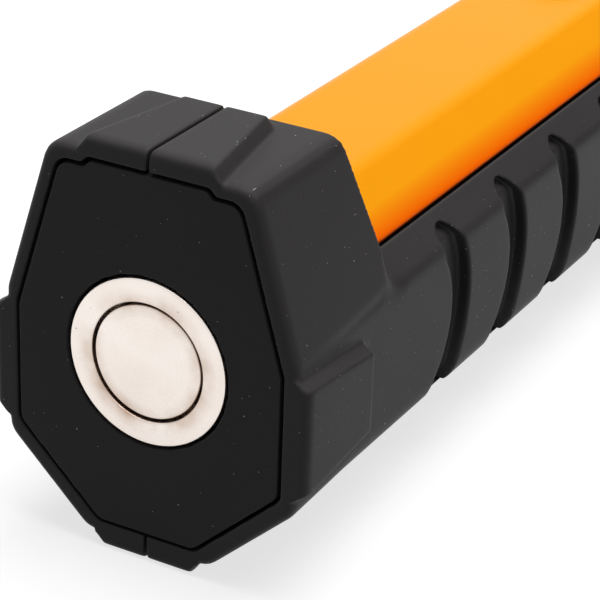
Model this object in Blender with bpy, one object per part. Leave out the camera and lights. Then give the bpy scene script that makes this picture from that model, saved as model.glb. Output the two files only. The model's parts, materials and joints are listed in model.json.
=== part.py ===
"""Non contact voltage tester with a torch and a magnetic base, lying on its underside.

The origin is the middle of the magnet's face. +Y runs along the tool to the sensing tip, and +Z is
up, through the orange spine. Lengths are in metres.
"""

import math

import bmesh
import bpy
from mathutils import Matrix, Vector

MM = 0.001

# Fits
GAP = 0.3 * MM  # between pieces that lie against each other
SEAM = 0.3 * MM  # between the two housing halves
ARC_STEPS = 3  # facets in a rounded corner
ROUND_SIDES = 28  # facets round a turned piece

# Cells: two AAA side by side
CELL_D = 10.5 * MM
CELL_LENGTH = 44.5 * MM
CELL_NUB_D = 5.5 * MM
CELL_NUB_HEIGHT = 1.0 * MM
CELL_SPACE = 0.4 * MM  # between the two cells
CELL_SIDE = 0.8 * MM  # from a cell to the side wall

# Housing section, the same from the bumper to the nose
WALL = 2.4 * MM
ROOF_THICKNESS = 1.4 * MM  # under the spine
BODY_TOP = 10.3 * MM
FLAT_HALF_WIDTH = 5.85 * MM  # flat top of the spine
SHOULDER_Z = 3.3 * MM  # where the flanks meet the sides
KEEL_ROOM = 3.0 * MM  # under the cells
LOW_CORNER_DROP = 3.15 * MM  # from the cells' axis to the lower corners
KEEL_HALF_WIDTH = 6.0 * MM
SHOULDER_RADIUS = 1.6 * MM
LOW_CORNER_RADIUS = 2.4 * MM

# Spine
SPINE_THICKNESS = 1.8 * MM
SPINE_EDGE_X = 10.8 * MM
SPINE_BEND_RADIUS = 2.0 * MM
TONGUE_HALF_WIDTH = 4.0 * MM
TONGUE_LENGTH = 3.0 * MM
TONGUE_THICKNESS = 1.0 * MM

# Grip grooves, arcs in the side view
GROOVE_COUNT = 5
GROOVE_PITCH = 12.0 * MM
GROOVE_WIDTH = 3.4 * MM
GROOVE_DEPTH = 1.3 * MM
GROOVE_FLANK_DEPTH = 0.8 * MM  # on the flanks, beside the spine's seat
GROOVE_RADIUS = 9.9 * MM
GROOVE_CENTRE_Z = -2.9 * MM
GROOVE_FIRST_Y = 20.6 * MM  # centre of the first arc
GROOVE_TOP_ROOM = 0.9 * MM  # from the spine's edge down to a groove's upper end
GROOVE_DOWN = math.radians(50)
GROOVE_STEPS = 12  # facets along an arc

# Base bumper
BUMPER_LENGTH = 14.0 * MM  # at its top
BUMPER_RAKE = 0.22  # how far its rear face leans back for each unit down
BUMPER_TOP = 17.5 * MM
BUMPER_TOP_HALF_WIDTH = 9.7 * MM
BUMPER_PROUD = 0.1 * MM  # beyond the housing's sides
BUMPER_SINK = 0.25 * MM  # how far its rear end runs in
BUMPER_EDGE_IN = 0.6 * MM  # front edge round, across
BUMPER_EDGE_BACK = 0.9 * MM  # front edge round, along
BUMPER_CORNER_RADIUS = 1.8 * MM
PAD_HEIGHT = 1.2 * MM
PAD_SLOPE = 0.8 * MM  # how much wider a pad is at its base
PAD_END_RAMP = 1.2 * MM
TOP_PAD_HALF_WIDTH = 5.9 * MM
TOP_PAD_BACK_HALF_WIDTH = 3.9 * MM
TOP_PAD_LENGTH = 13.0 * MM
SIDE_PAD_HALF_WIDTH = 4.7 * MM
SIDE_PAD_BACK_HALF_WIDTH = 3.6 * MM
SIDE_PAD_LENGTH = 12.4 * MM
SIDE_PAD_Z = -3.3 * MM
KEEL_PAD_HALF_WIDTH = 4.3 * MM
KEEL_PAD_BACK_HALF_WIDTH = 3.4 * MM
FOOT_LENGTH = 11.0 * MM  # front foot under the housing
FOOT_SETBACK = 3.0 * MM

# Base plate and magnet
MAGNET_D = 15.0 * MM
MAGNET_RING = 2.15 * MM  # width of the cup's rim
MAGNET_GAP = 0.25 * MM  # between the cup's rim and the disc
MAGNET_DEPTH = 5.0 * MM
MAGNET_FLOOR = 1.2 * MM
PLATE_THICKNESS = 3.0 * MM
RIM_TOP = 1.55 * MM  # bumper rim round the plate, edge by edge
RIM_FLANK = 1.7 * MM
RIM_SIDE = 1.45 * MM
RIM_CHAMFER = 2.0 * MM
RIM_KEEL = 1.5 * MM
PLATE_CORNER_RADIUS = 1.2 * MM
PLATE_STEP_HALF_WIDTH = 5.4 * MM  # raised middle of the plate's top edge
PLATE_STEP = 0.65 * MM
BULKHEAD = 2.2 * MM

# Switch stack, from the roof down
BUTTON_TRAVEL = 0.8 * MM
BUTTON_PROUD = 0.9 * MM
POWER_BUTTON_LENGTH = 12.0 * MM
TORCH_BUTTON_LENGTH = 7.6 * MM
BUTTON_PITCH = 13.0 * MM
BUTTON_CLEARANCE = 0.25 * MM
BUTTON_ROUND = 0.7 * MM
FLANGE_THICKNESS = 1.0 * MM
FLANGE_WIDTH = 0.8 * MM
SWITCH_SIZE = 6.0 * MM
SWITCH_HEIGHT = 2.4 * MM
PLUNGER_D = 3.4 * MM
BOARD_THICKNESS = 1.6 * MM
BOARD_HALF_WIDTH = 8.2 * MM
BOARD_TONGUE_HALF_WIDTH = 4.6 * MM
BUZZER_D = 9.0 * MM
BUZZER_HEIGHT = 3.0 * MM
BUZZER_SETBACK = 14.0 * MM  # from the board's rear end

# Cell bay and door
BAY_SETBACK = 9.6 * MM  # behind the bumper
DOOR_DROP = 0.6 * MM  # door edge below the lower corners
SEAL_THICKNESS = 0.8 * MM  # between the door's edge and the housing
TRAY_THICKNESS = 1.2 * MM
POST_D = 5.0 * MM
DOOR_SCREW_SETBACK = 4.6 * MM
CONTACT_THICKNESS = 0.5 * MM
CONTACT_HALF_WIDTH = 3.6 * MM
CONTACT_BUMP = 1.0 * MM
FRONT_BAY = 18.5 * MM  # from the bay to the housing's front end

# Screws
SCREW_D = 2.5 * MM
SCREW_HEAD_D = 4.4 * MM
SCREW_HEAD_HEIGHT = 1.6 * MM
SCREW_HEAD_SINK = 1.2 * MM
BOSS_D = 5.2 * MM
DOOR_SCREW_GRIP = 3.6 * MM  # length in its post
REAR_SCREW_Y = 9.8 * MM
REAR_SCREW_Z = 13.2 * MM
SIDE_SCREW_Z = -5.5 * MM

# Nose, tip and torch
SPIGOT_LENGTH = 6.0 * MM
SPIGOT_WALL = 1.6 * MM
NOSE_LENGTH = 28.0 * MM
NOSE_WALL = 1.5 * MM
NOSE_FRONT_WALL = 2.6 * MM
NOSE_FRONT_HALF_WIDTH = 9.2 * MM
NOSE_EDGE_RADIUS = 1.2 * MM
NOSE_STATIONS = 5
NOSE_FULLNESS = 1.7
NOSE_SEAL_THICKNESS = 0.8 * MM
TIP_LENGTH = 34.0 * MM
TIP_ROOT_WIDTH = 10.0 * MM
TIP_ROOT_HEIGHT = 6.0 * MM
TIP_END_WIDTH = 6.4 * MM
TIP_END_HEIGHT = 3.8 * MM
TIP_WALL = 1.2 * MM
TIP_FLANGE = 0.8 * MM
TIP_ROOM = 0.7 * MM  # between the tip's flange and the nose's inside
TIP_END_LENGTH = 2.0 * MM
COLLAR_LENGTH = 5.0 * MM
COLLAR_BORDER = 1.2 * MM
ANTENNA_WIDTH = 2.4 * MM
ANTENNA_THICKNESS = 0.6 * MM
ANTENNA_LAP = 8.0 * MM  # on the board
LED_D = 2.6 * MM
LED_LENGTH = 4.0 * MM
TORCH_D = 7.2 * MM
TORCH_WEB = 0.8 * MM  # material beside the torch bore
LENS_THICKNESS = 1.8 * MM
LENS_CROWN = 0.5 * MM
REFLECTOR_LENGTH = 6.0 * MM
REFLECTOR_WALL = 0.6 * MM
TORCH_LED_D = 2.4 * MM

for old in list(bpy.data.objects):
    bpy.data.objects.remove(old)


# Outlines: lists of (across, up) corners, clockwise, starting at the top right

def outline(right):
    """The closed outline whose right-hand corners, from top to bottom, are given."""
    return right + [(-x, z) for x, z in reversed(right)]


def edges(top, flank, side, chamfer, keel):
    """One width for each edge of an eight-cornered outline."""
    return [flank, side, chamfer, keel, chamfer, side, flank, top]


def inset(points, widths):
    """The outline with edge i, from corner i to the next, moved in by widths[i]."""
    lines = []
    for a, b, width in zip(points, points[1:] + points[:1], widths):
        along = (Vector(b) - Vector(a)).normalized()
        outward = Vector((-along.y, along.x))
        lines.append((Vector(a) - outward * width, along))
    corners = []
    for (start, along), (other, across) in zip(lines[-1:] + lines[:-1], lines):
        reach = (other - start).cross(across) / along.cross(across)
        corners.append(tuple(start + along * reach))
    return corners


def shrunk(points, width):
    return inset(points, [width] * len(points))


def rounded(points, radii):
    """The outline with an arc at each corner; a radius of 0 leaves the corner sharp."""
    result = []
    for i, radius in enumerate(radii):
        corner = Vector(points[i])
        if radius <= 0:
            result.append(tuple(corner))
            continue
        back = (Vector(points[i - 1]) - corner).normalized()
        ahead = (Vector(points[(i + 1) % len(points)]) - corner).normalized()
        half = back.angle(ahead) / 2
        centre = corner + (back + ahead).normalized() * radius / math.sin(half)
        start = corner + back * radius / math.tan(half) - centre
        end = corner + ahead * radius / math.tan(half) - centre
        sweep = math.atan2(start.cross(end), start.dot(end))
        first = math.atan2(start.y, start.x)
        for step in range(ARC_STEPS + 1):
            angle = first + sweep * step / ARC_STEPS
            result.append(tuple(centre + radius * Vector((math.cos(angle), math.sin(angle)))))
    return result


def oblong(width, height, radius, across=0.0, up=0.0):
    """A rounded rectangle about (across, up)."""
    half = width / 2
    corners = outline([(half, height / 2), (half, -height / 2)])
    radius = min(radius, 0.49 * width, 0.49 * height)
    return [(x + across, z + up) for x, z in rounded(corners, [radius] * 4)]


def half_width_at(points, z):
    """Half the width of an outline at height z, read from its right-hand edges."""
    right = points[: len(points) // 2]
    for (x0, z0), (x1, z1) in zip(right, right[1:]):
        if z1 <= z <= z0:
            return x0 + (x1 - x0) * (z0 - z) / (z0 - z1)
    return right[-1][0]


# Solids

def material(name, colour, roughness, metallic=0.0):
    made = bpy.data.materials.new(name)
    made.use_nodes = True
    shader = made.node_tree.nodes["Principled BSDF"]
    shader.inputs["Base Color"].default_value = (*colour, 1.0)
    shader.inputs["Roughness"].default_value = roughness
    shader.inputs["Metallic"].default_value = metallic
    return made


def make(name, form, finish=None):
    """An object from a bmesh; with no finish it is a helper that others cut or join."""
    bmesh.ops.recalc_face_normals(form, faces=form.faces)
    mesh = bpy.data.meshes.new(name)
    form.to_mesh(mesh)
    form.free()
    made = bpy.data.objects.new(name, mesh)
    bpy.context.scene.collection.objects.link(made)
    if finish is None:
        made.hide_render = True
        made.display_type = "WIRE"
    else:
        mesh.materials.append(finish)
        mesh.shade_smooth()
        mesh.set_sharp_from_angle(angle=math.radians(32))
    return made


def add_loft(form, rings):
    """Adds a closed loft through rings of points, each with the same count."""
    loops = [[form.verts.new(point) for point in ring] for ring in rings]
    for near, far in zip(loops, loops[1:]):
        for i in range(len(near)):
            j = (i + 1) % len(near)
            form.faces.new((near[i], near[j], far[j], far[i]))
    form.faces.new(loops[0])
    form.faces.new(loops[-1][::-1])


def loft(name, rings, finish=None):
    form = bmesh.new()
    add_loft(form, rings)
    return make(name, form, finish)


def along_x(x, points):
    return [(x, y, z) for y, z in points]


def along_y(y, points):
    return [(x, y, z) for x, z in points]


def along_z(z, points):
    return [(x, y, z) for x, y in points]


def prism(name, points, y0, y1, finish=None):
    return loft(name, [along_y(y0, points), along_y(y1, points)], finish)


def block(name, low, high, finish=None):
    corners = [(high[0], high[2]), (high[0], low[2]), (low[0], low[2]), (low[0], high[2])]
    return prism(name, corners, low[1], high[1], finish)


def turned(name, profile, centre, axis, finish=None, sides=ROUND_SIDES, closed=False):
    """A solid turned about an axis from a profile of (radius, distance along the axis)."""
    form = bmesh.new()
    axis = Vector(axis)
    spoke = axis.orthogonal().normalized()
    verts = [form.verts.new(Vector(centre) + spoke * r + axis * d) for r, d in profile]
    pairs = list(zip(verts, verts[1:]))
    if closed:
        pairs.append((verts[-1], verts[0]))
    lines = [form.edges.new(pair) for pair in pairs]
    bmesh.ops.spin(form, geom=verts + lines, cent=centre, axis=axis,
                   angle=math.tau, steps=sides, use_merge=True)
    bmesh.ops.remove_doubles(form, verts=form.verts, dist=0.001 * MM)
    return make(name, form, finish)


def boolean(target, tools, operation):
    for tool in tools:
        step = target.modifiers.new(f"{operation.lower()}_{tool.name}", "BOOLEAN")
        step.operation = operation
        step.object = tool
    return target


def join(target, *tools):
    return boolean(target, tools, "UNION")


def cut(target, *tools):
    return boolean(target, tools, "DIFFERENCE")


def carry(name, point, *pieces):
    """Parents moving pieces to an empty on their joint's axis."""
    holder = bpy.data.objects.new(name, None)
    holder.location = point
    bpy.context.scene.collection.objects.link(holder)
    for piece in pieces:
        piece.parent = holder
        piece.matrix_parent_inverse = Matrix.Translation(-Vector(point))


rubber = material("grip_rubber", (0.028, 0.026, 0.026), 0.62)
plate_plastic = material("plate_plastic", (0.016, 0.015, 0.015), 0.55)
orange_plastic = material("orange_abs", (1.0, 0.33, 0.02), 0.28)
nickel = material("nickel_plate", (0.82, 0.78, 0.74), 0.25, 1.0)
black_plastic = material("black_abs", (0.02, 0.02, 0.021), 0.45)
inner_plastic = material("inner_plastic", (0.05, 0.05, 0.055), 0.5)
seal_rubber = material("seal_rubber", (0.08, 0.08, 0.08), 0.7)
cell_wrap = material("cell_wrap", (0.12, 0.14, 0.16), 0.3)
contact_steel = material("contact_steel", (0.75, 0.74, 0.7), 0.3, 1.0)
screw_steel = material("screw_steel", (0.18, 0.18, 0.18), 0.35, 1.0)
board_green = material("board_laminate", (0.02, 0.16, 0.06), 0.4)
button_rubber = material("button_rubber", (0.06, 0.06, 0.06), 0.6)
clear_plastic = material("clear_plastic", (0.9, 0.9, 0.88), 0.15)
tip_plastic = material("tip_plastic", (0.85, 0.84, 0.8), 0.35)
copper = material("antenna_copper", (0.85, 0.45, 0.25), 0.3, 1.0)
led_resin = material("led_resin", (0.9, 0.85, 0.6), 0.2)
mirror_metal = material("reflector_metal", (0.9, 0.9, 0.9), 0.08, 1.0)


# Levels, from the roof down

spine_seat = SPINE_THICKNESS + GAP
roof_depth = spine_seat + ROOF_THICKNESS
roof_under = BODY_TOP - roof_depth
flange_top = roof_under - GAP
flange_under = flange_top - FLANGE_THICKNESS
switch_top = flange_under - BUTTON_TRAVEL - GAP
switch_under = switch_top - SWITCH_HEIGHT
board_top = switch_under - GAP
board_under = board_top - BOARD_THICKNESS
tray_top = board_under - GAP
tray_under = tray_top - TRAY_THICKNESS
cell_z = tray_under - GAP - CELL_D / 2
cell_x = (CELL_D + CELL_SPACE) / 2

# Housing section

body_half_width = cell_x + CELL_D / 2 + CELL_SIDE + WALL
low_corner_z = cell_z - LOW_CORNER_DROP
body_bottom = cell_z - CELL_D / 2 - KEEL_ROOM - WALL
body = outline([
    (FLAT_HALF_WIDTH, BODY_TOP),
    (body_half_width, SHOULDER_Z),
    (body_half_width, low_corner_z),
    (KEEL_HALF_WIDTH, body_bottom),
])
roof_and_walls = edges(roof_depth, roof_depth, WALL, WALL, WALL)
cavity = inset(body, roof_and_walls)
flank = (Vector(body[1]) - Vector(body[0])).normalized()
flank_normal = Vector((-flank.y, flank.x))
spine_edge = Vector(body[0]) + flank * (SPINE_EDGE_X - FLAT_HALF_WIDTH) / flank.x
seat_lip = spine_edge + flank * GAP
groove_up = math.asin((seat_lip.y - GROOVE_TOP_ROOM - GROOVE_WIDTH / 2 - GROOVE_CENTRE_Z) / GROOVE_RADIUS)

# Places along the tool


def bumper_rear(z):
    return BUMPER_LENGTH + (BUMPER_TOP - z) * BUMPER_RAKE


bay_start = bumper_rear(BODY_TOP) + BAY_SETBACK
wall_setback = DOOR_SCREW_SETBACK + POST_D / 2
tray_start = bay_start + wall_setback
rear_contact_y = tray_start + GAP
cell_start = rear_contact_y + CONTACT_THICKNESS + CONTACT_BUMP + GAP
cell_end = cell_start + CELL_LENGTH
front_contact_y = cell_end + GAP + CONTACT_BUMP
tray_end = front_contact_y + CONTACT_THICKNESS + GAP
bay_end = tray_end + wall_setback
body_end = bay_end + FRONT_BAY
spigot_start = body_end - SPIGOT_LENGTH
torch_button_y = spigot_start - GAP - FLANGE_WIDTH - TORCH_BUTTON_LENGTH / 2 - SPIGOT_WALL
power_button_y = torch_button_y - BUTTON_PITCH
board_start = tray_start + GAP
board_shoulder = spigot_start - GAP
nose_start = body_end + GAP + NOSE_SEAL_THICKNESS + GAP
nose_end = nose_start + NOSE_LENGTH
flange_end = nose_end - NOSE_FRONT_WALL - GAP
flange_start = flange_end - TIP_FLANGE
board_end = flange_start - GAP
tip_end = nose_end + TIP_LENGTH


# Housing halves: a hidden form of both, split at the seam

bumper_corners = outline([
    (BUMPER_TOP_HALF_WIDTH, BUMPER_TOP),
    (body_half_width + BUMPER_PROUD, SHOULDER_Z),
    (body_half_width + BUMPER_PROUD, low_corner_z - BUMPER_PROUD),
    (KEEL_HALF_WIDTH, body_bottom - BUMPER_PROUD),
])
bumper_rear_widths = edges(0.0, 0.0, BUMPER_PROUD + BUMPER_SINK, BUMPER_PROUD + BUMPER_SINK,
                           BUMPER_PROUD + BUMPER_SINK)


def edge_round(step):
    """How far along and across the bumper's front edge has turned at a step."""
    angle = math.pi / 2 * step / ARC_STEPS
    return (BUMPER_EDGE_BACK * (1 - math.cos(angle)), BUMPER_EDGE_IN * (1 - math.sin(angle)))


def bumper_form():
    radii = [BUMPER_CORNER_RADIUS] * 8
    rings = []
    for step in range(ARC_STEPS + 1):
        back, across = edge_round(step)
        rings.append(along_y(back, rounded(shrunk(bumper_corners, across), radii)))
    rear = rounded(inset(bumper_corners, bumper_rear_widths), radii)
    rings.append([(x, bumper_rear(z), z) for x, z in rear])
    return loft("bumper_form", rings)


def pad_rings(place, stations):
    """Rings of a raised pad; a station is (y, half width at the top, height)."""
    rings = []
    for y, half, height in stations:
        base = half + PAD_SLOPE
        section = outline([(half, height), (base, 0.0), (base, -PAD_HEIGHT)])
        rings.append([place(across, up, y) for across, up in section])
    return rings


def bumper_pad_stations(front_half, back_half, length):
    stations = []
    for step in range(ARC_STEPS + 1):
        back, across = edge_round(step)
        stations.append((back, front_half, PAD_HEIGHT - across))
    stations.append((length - PAD_END_RAMP, back_half, PAD_HEIGHT))
    stations.append((length, back_half - PAD_END_RAMP / 2, -PAD_HEIGHT / 2))
    return stations


def on_top(across, up, y):
    return (across, y, BUMPER_TOP + up)


def on_right(across, up, y):
    return (body_half_width + BUMPER_PROUD + up, y, SIDE_PAD_Z + across)


def on_left(across, up, y):
    return (-body_half_width - BUMPER_PROUD - up, y, SIDE_PAD_Z + across)


def on_keel(across, up, y):
    return (across, y, body_bottom - BUMPER_PROUD - up)


def pads_form():
    form = bmesh.new()
    top = bumper_pad_stations(TOP_PAD_HALF_WIDTH, TOP_PAD_BACK_HALF_WIDTH, TOP_PAD_LENGTH)
    side = bumper_pad_stations(SIDE_PAD_HALF_WIDTH, SIDE_PAD_BACK_HALF_WIDTH, SIDE_PAD_LENGTH)
    keel = bumper_pad_stations(KEEL_PAD_HALF_WIDTH, KEEL_PAD_BACK_HALF_WIDTH, TOP_PAD_LENGTH)
    foot_end = body_end - FOOT_SETBACK
    foot_start = foot_end - FOOT_LENGTH
    foot = [
        (foot_start, KEEL_PAD_BACK_HALF_WIDTH, -PAD_HEIGHT / 2),
        (foot_start + PAD_END_RAMP, KEEL_PAD_HALF_WIDTH, PAD_HEIGHT),
        (foot_end - PAD_END_RAMP, KEEL_PAD_HALF_WIDTH, PAD_HEIGHT),
        (foot_end, KEEL_PAD_BACK_HALF_WIDTH, -PAD_HEIGHT / 2),
    ]
    for place, stations in ((on_top, top), (on_right, side), (on_left, side), (on_keel, keel),
                            (on_keel, foot)):
        add_loft(form, pad_rings(place, stations))
    return make("pads_form", form)


def grip_form():
    """The straight housing, with the seat for the spine left open along its top."""
    seat = inset(body, edges(spine_seat, spine_seat, 0.0, 0.0, 0.0))
    section = outline([
        seat[0],
        tuple(seat_lip - flank_normal * spine_seat),
        tuple(seat_lip),
        body[1],
        body[2],
        body[3],
    ])
    radii = [0.0, 0.0, 0.0, SHOULDER_RADIUS, LOW_CORNER_RADIUS, LOW_CORNER_RADIUS]
    start = BUMPER_EDGE_BACK + GAP
    return prism("grip_form", rounded(section, radii + radii[::-1]), start, body_end)


def groove_outline(centre_y):
    """A band along an arc, with round ends, in the side view as (y, z)."""
    points = []
    half = GROOVE_WIDTH / 2

    def at(radius, angle):
        return (centre_y + radius * math.cos(angle), GROOVE_CENTRE_Z + radius * math.sin(angle))

    for step in range(GROOVE_STEPS + 1):
        angle = -GROOVE_DOWN + (groove_up + GROOVE_DOWN) * step / GROOVE_STEPS
        points.append(at(GROOVE_RADIUS + half, angle))
    for end, way in ((groove_up, 1), (-GROOVE_DOWN, -1)):
        middle = Vector(at(GROOVE_RADIUS, end))
        for step in range(1, 2 * ARC_STEPS):
            swing = math.pi * step / (2 * ARC_STEPS)
            spoke = end + swing if way > 0 else end + math.pi + swing
            points.append(tuple(middle + half * Vector((math.cos(spoke), math.sin(spoke)))))
        if way > 0:
            for step in range(GROOVE_STEPS + 1):
                angle = groove_up - (groove_up + GROOVE_DOWN) * step / GROOVE_STEPS
                points.append(at(GROOVE_RADIUS - half, angle))
    return points


def grooves_form():
    """What the grip grooves take away: bands across the housing, outside its grooved core."""
    form = bmesh.new()
    reach = 2 * body_half_width
    for index in range(GROOVE_COUNT):
        band = groove_outline(GROOVE_FIRST_Y + index * GROOVE_PITCH)
        add_loft(form, [along_x(-reach, band), along_x(reach, band)])
    bands = make("grooves_form", form)
    depths = edges(GROOVE_DEPTH, GROOVE_FLANK_DEPTH, GROOVE_DEPTH, GROOVE_DEPTH, GROOVE_DEPTH)
    core = rounded(inset(body, depths), [SHOULDER_RADIUS / 2] * 8)
    return cut(bands, prism("groove_core_form", core, -BUMPER_LENGTH, 2 * body_end))


plate_corners = inset(bumper_corners, edges(RIM_TOP, RIM_FLANK, RIM_SIDE, RIM_CHAMFER, RIM_KEEL))


def plate_outline(grow):
    """The base plate's outline, its top edge raised in the middle, grown all round."""
    (corner_x, corner_z), side_top, side_low, keel = shrunk(plate_corners, -grow)[:4]
    step_x = PLATE_STEP_HALF_WIDTH + grow
    right = [
        (step_x, corner_z + PLATE_STEP),
        (step_x + PLATE_STEP, corner_z),
        (corner_x, corner_z),
        side_top,
        side_low,
        keel,
    ]
    small = PLATE_STEP / 3
    radii = [small, small] + [PLATE_CORNER_RADIUS] * 4
    return rounded(outline(right), radii + radii[::-1])


button_width = 2 * (cavity[0][0] - FLANGE_WIDTH)  # its flange fits under the flat of the roof


def button_outline(length, y, grow=0.0):
    return oblong(button_width + 2 * grow, length + 2 * grow, button_width, 0.0, y)


BUTTONS = (
    ("power", POWER_BUTTON_LENGTH, power_button_y),
    ("torch", TORCH_BUTTON_LENGTH, torch_button_y),
)


def button_holes_form():
    form = bmesh.new()
    for _, length, y in BUTTONS:
        hole = button_outline(length, y, BUTTON_CLEARANCE)
        add_loft(form, [along_z(roof_under - WALL, hole), along_z(BODY_TOP + WALL, hole)])
    return make("button_holes_form", form)


low_screw_y = (MAGNET_DEPTH + GAP + BULKHEAD + bay_start) / 2
front_screw_y = (bay_end + spigot_start) / 2
SCREWS = (
    (REAR_SCREW_Y, REAR_SCREW_Z, bumper_corners),
    (low_screw_y, SIDE_SCREW_Z, body),
    (front_screw_y, SIDE_SCREW_Z, body),
)


def screw_profile(length, grow=0.0, above=0.0):
    head = SCREW_HEAD_D / 2 + grow
    shank = SCREW_D / 2 + grow
    under = SCREW_HEAD_HEIGHT + grow
    return [(0.0, -above), (head, -above), (head, under), (shank, under), (shank, length + grow),
            (0.0, length + grow)]


def screw_bosses():
    """Bosses across the inside and the stepped holes through them, one pair for each screw."""
    bosses = []
    holes = []
    for number, (y, z, corners) in enumerate(SCREWS, 1):
        reach = half_width_at(corners, z) - WALL / 2
        head_x = half_width_at(corners, z) - SCREW_HEAD_SINK
        boss = [(0.0, -reach), (BOSS_D / 2, -reach), (BOSS_D / 2, reach), (0.0, reach)]
        bosses.append(turned(f"boss_form_{number}", boss, (0.0, y, z), (1, 0, 0)))
        hole = screw_profile(2 * head_x - WALL, GAP, BOSS_D)
        holes.append(turned(f"screw_hole_form_{number}", hole, (-head_x, y, z), (1, 0, 0)))
    return bosses, holes


bumper = bumper_form()
magnet_reach = MAGNET_DEPTH + GAP
plate_pocket = prism("plate_pocket_form", plate_outline(GAP), -MAGNET_DEPTH, PLATE_THICKNESS + GAP)
magnet_pocket = turned(
    "magnet_pocket_form",
    [(0.0, 0.0), (MAGNET_D / 2 + GAP, 0.0), (MAGNET_D / 2 + GAP, magnet_reach), (0.0, magnet_reach)],
    (0, 0, 0), (0, 1, 0))
cavity_form = prism("cavity_form", cavity, magnet_reach + BULKHEAD, body_end + WALL)
door_edge = low_corner_z - DOOR_DROP
bay_form = block("bay_form", (-2 * body_half_width, bay_start, 2 * body_bottom),
                 (2 * body_half_width, bay_end, door_edge))
tongue_slot = block(
    "tongue_slot_form",
    (-TONGUE_HALF_WIDTH - GAP, bumper_rear(BODY_TOP) - TONGUE_LENGTH - GAP,
     BODY_TOP - SPINE_THICKNESS - GAP),
    (TONGUE_HALF_WIDTH + GAP, bumper_rear(BODY_TOP) + WALL,
     BODY_TOP - SPINE_THICKNESS + TONGUE_THICKNESS + GAP))
boss_forms, hole_forms = screw_bosses()

join(bumper, grip_form(), pads_form())
cut(bumper, grooves_form(), plate_pocket, magnet_pocket, cavity_form)
join(bumper, *boss_forms)
cut(bumper, *hole_forms)
cut(bumper, bay_form, tongue_slot, button_holes_form())

span = 2 * body_half_width
for name, low_x, high_x in (("left_housing", -span, -SEAM / 2), ("right_housing", SEAM / 2, span)):
    half = block(name, (low_x, -MAGNET_DEPTH, 2 * body_bottom), (high_x, 2 * body_end, 2 * BUMPER_TOP),
                 rubber)
    boolean(half, [bumper], "INTERSECT")

for number, (y, z, corners) in enumerate(SCREWS, 1):
    head_x = half_width_at(corners, z) - SCREW_HEAD_SINK
    turned(f"housing_screw_{number}", screw_profile(2 * head_x - WALL), (-head_x, y, z), (1, 0, 0),
           screw_steel)


# Spine cover: a bent plate in the seat between the halves, with a tongue under the bumper

spine_inner = inset(body, edges(SPINE_THICKNESS, SPINE_THICKNESS, 0.0, 0.0, 0.0))
spine_section = rounded(
    outline([body[0], tuple(spine_edge), tuple(spine_edge - flank_normal * SPINE_THICKNESS),
             spine_inner[0]]),
    [SPINE_BEND_RADIUS, 0.0, 0.0, SPINE_BEND_RADIUS / 4] + [SPINE_BEND_RADIUS / 4, 0.0, 0.0,
                                                           SPINE_BEND_RADIUS])
spine = loft("spine_cover", [[(x, bumper_rear(z) + GAP, z) for x, z in spine_section],
                             along_y(body_end, spine_section)], orange_plastic)
tongue_reach = bumper_rear(BODY_TOP) - TONGUE_LENGTH
join(spine, block(
    "tongue_form",
    (-TONGUE_HALF_WIDTH, tongue_reach, BODY_TOP - SPINE_THICKNESS),
    (TONGUE_HALF_WIDTH, bumper_rear(BODY_TOP) + WALL,
     BODY_TOP - SPINE_THICKNESS + TONGUE_THICKNESS)))
cut(spine, bpy.data.objects["button_holes_form"])


# Base plate and pot magnet

plate = prism("base_plate", plate_outline(0.0), 0.0, PLATE_THICKNESS, plate_plastic)
cut(plate, magnet_pocket, turned(
    "plate_bore_form",
    [(0.0, -MAGNET_DEPTH), (MAGNET_D / 2 + GAP, -MAGNET_DEPTH), (MAGNET_D / 2 + GAP, GAP), (0.0, GAP)],
    (0, 0, 0), (0, 1, 0)))
ring_inner = MAGNET_D / 2 - MAGNET_RING
cup_floor = MAGNET_DEPTH - MAGNET_FLOOR
turned("magnet_cup",
       [(0.0, cup_floor), (ring_inner, cup_floor), (ring_inner, 0.0), (MAGNET_D / 2, 0.0),
        (MAGNET_D / 2, MAGNET_DEPTH), (0.0, MAGNET_DEPTH)],
       (0, 0, 0), (0, 1, 0), nickel, 2 * ROUND_SIDES)
disc_radius = ring_inner - MAGNET_GAP
disc_back = cup_floor - GAP
turned("magnet_disc", [(0.0, 0.0), (disc_radius, 0.0), (disc_radius, disc_back), (0.0, disc_back)],
       (0, 0, 0), (0, 1, 0), nickel, 2 * ROUND_SIDES)


# Cell tray: a plate over the cells, end walls, a ridge between the cells and two screw posts

tray_half_width = cavity[1][0] - GAP
wall_corners = shrunk(body, WALL + GAP)
wall_low = cell_z - CELL_D / 3
wall_section = outline([
    (wall_corners[1][0], tray_top - TRAY_THICKNESS / 2),
    (wall_corners[2][0], wall_corners[2][1]),
    (half_width_at(wall_corners, wall_low), wall_low),
])
post_low = body_bottom + WALL + GAP
post_ys = (bay_start + DOOR_SCREW_SETBACK, bay_end - DOOR_SCREW_SETBACK)
tray = block("battery_tray", (-tray_half_width, bay_start + GAP, tray_under),
             (tray_half_width, bay_end - GAP, tray_top), inner_plastic)
ridge = outline([(CELL_D / 10, tray_top - TRAY_THICKNESS / 2), (CELL_SPACE, tray_under - CELL_D / 5)])
post_top = tray_top - TRAY_THICKNESS / 2
post = [(0.0, post_low), (POST_D / 2, post_low), (POST_D / 2, post_top), (0.0, post_top)]
join(tray,
     prism("tray_rear_wall_form", wall_section, tray_start - TRAY_THICKNESS, tray_start),
     prism("tray_front_wall_form", wall_section, tray_end, tray_end + TRAY_THICKNESS),
     prism("tray_ridge_form", ridge, cell_start, cell_end),
     *(turned(f"post_form_{i}", post, (0, y, 0), (0, 0, 1)) for i, y in enumerate(post_ys, 1)))
door_screw_head = body_bottom + SCREW_HEAD_SINK
door_screw_length = post_low - door_screw_head + DOOR_SCREW_GRIP
door_hole = screw_profile(door_screw_length, GAP, POST_D)
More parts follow.
